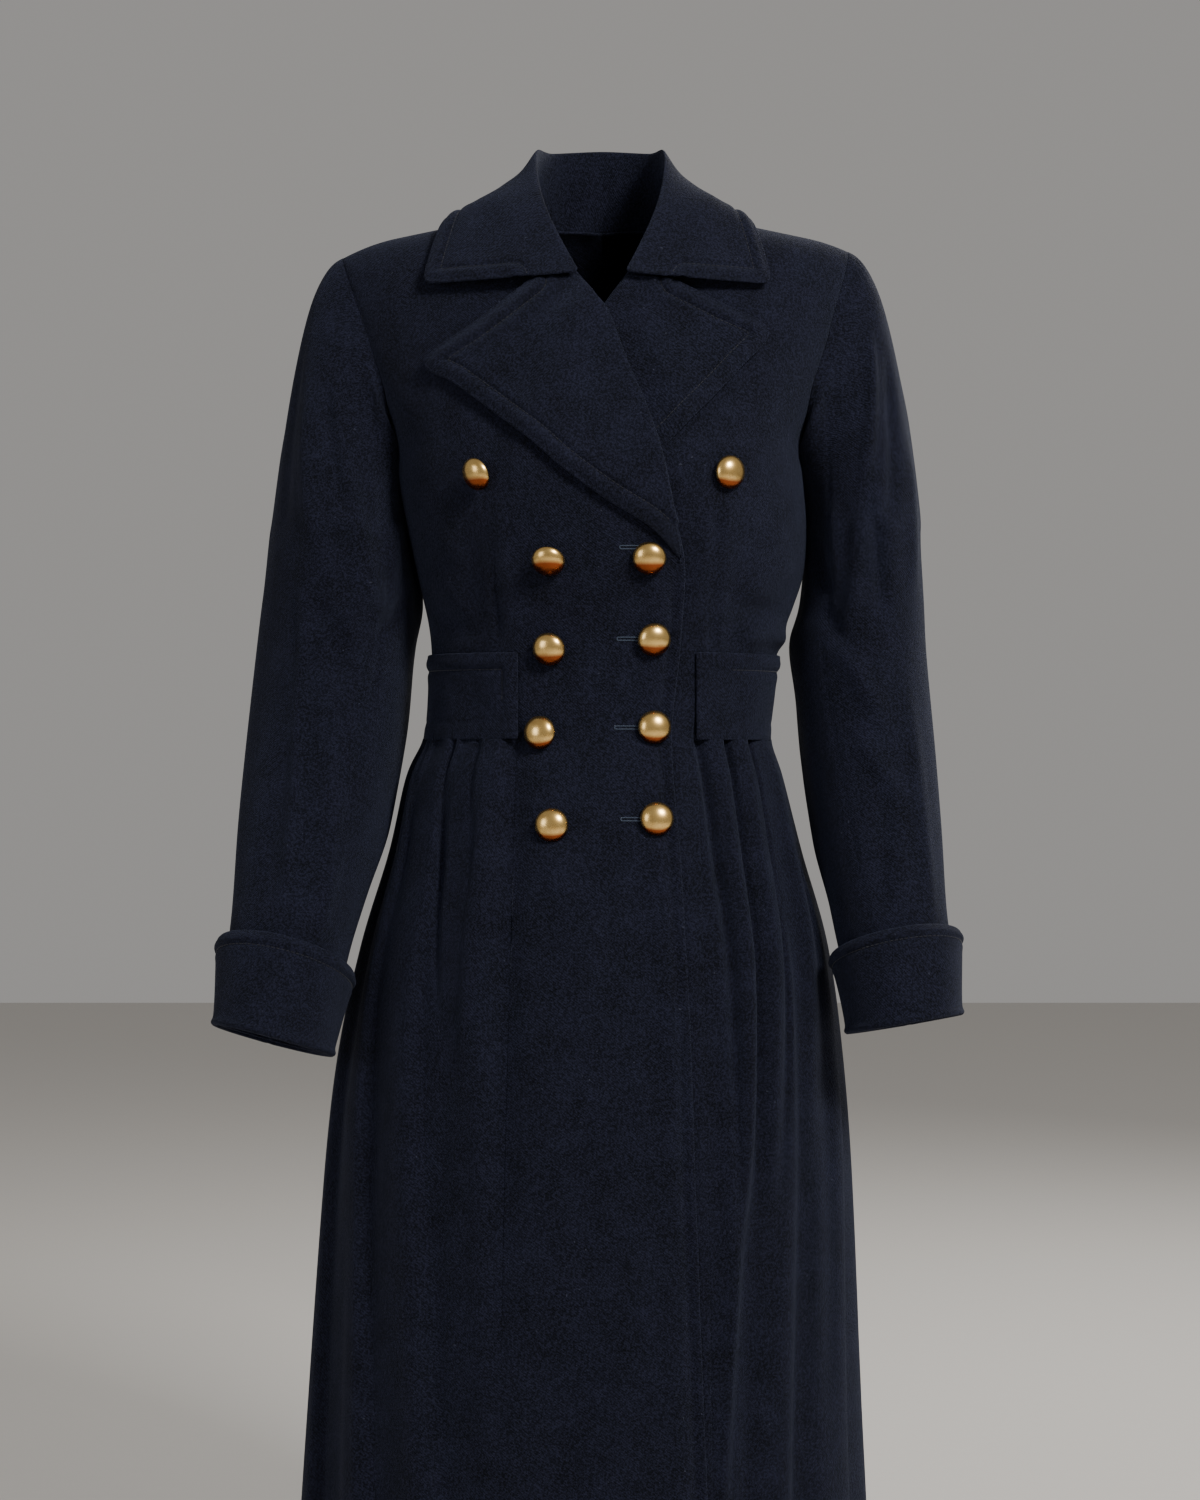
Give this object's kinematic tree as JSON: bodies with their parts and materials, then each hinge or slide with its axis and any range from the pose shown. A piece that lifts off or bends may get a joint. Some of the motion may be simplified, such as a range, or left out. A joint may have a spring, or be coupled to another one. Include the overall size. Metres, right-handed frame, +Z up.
{
  "type": "wool overcoat",
  "caption": "Long fitted wool overcoat, double-breasted, with peaked lapels, turned-back cuffs, a waistband, a softly pleated skirt and domed metal buttons, in its worn shape.",
  "frame": {"origin": "middle of the neck opening, level with the tops of the shoulders beside the collar, where the wearer's neck and shoulders carry the coat", "axes": "+Z up along the coat's length, -Y the front, +X the wearer's left"},
  "size_m": [0.6264, 0.4235, 1.3052],
  "materials": {
    "wool_cloth": "milled, slightly napped, matt",
    "brass_button": "polished"
  },
  "bodies": {
    "root": {"front_right": "wool_cloth", "front_left": "wool_cloth", "back_right": "wool_cloth", "back_left": "wool_cloth", "skirt_front_right": "wool_cloth", "skirt_front_left": "wool_cloth", "skirt_back_right": "wool_cloth", "skirt_back_left": "wool_cloth", "waistband": "wool_cloth", "lapel_right": "wool_cloth", "lapel_left": "wool_cloth", "collar": "wool_cloth", "sleeve_upper_right": "wool_cloth", "sleeve_under_right": "wool_cloth", "sleeve_upper_left": "wool_cloth", "sleeve_under_left": "wool_cloth", "cuff_right": "wool_cloth", "cuff_left": "wool_cloth", "button_outer_right": "brass_button", "button_outer_left": "brass_button", "button_right_1": "brass_button", "button_right_2": "brass_button", "button_right_3": "brass_button", "button_right_4": "brass_button", "button_left_1": "brass_button", "button_left_2": "brass_button", "button_left_3": "brass_button", "button_left_4": "brass_button", "button_sleeve_right": "brass_button", "button_sleeve_left": "brass_button"}
  },
  "joints": []
}
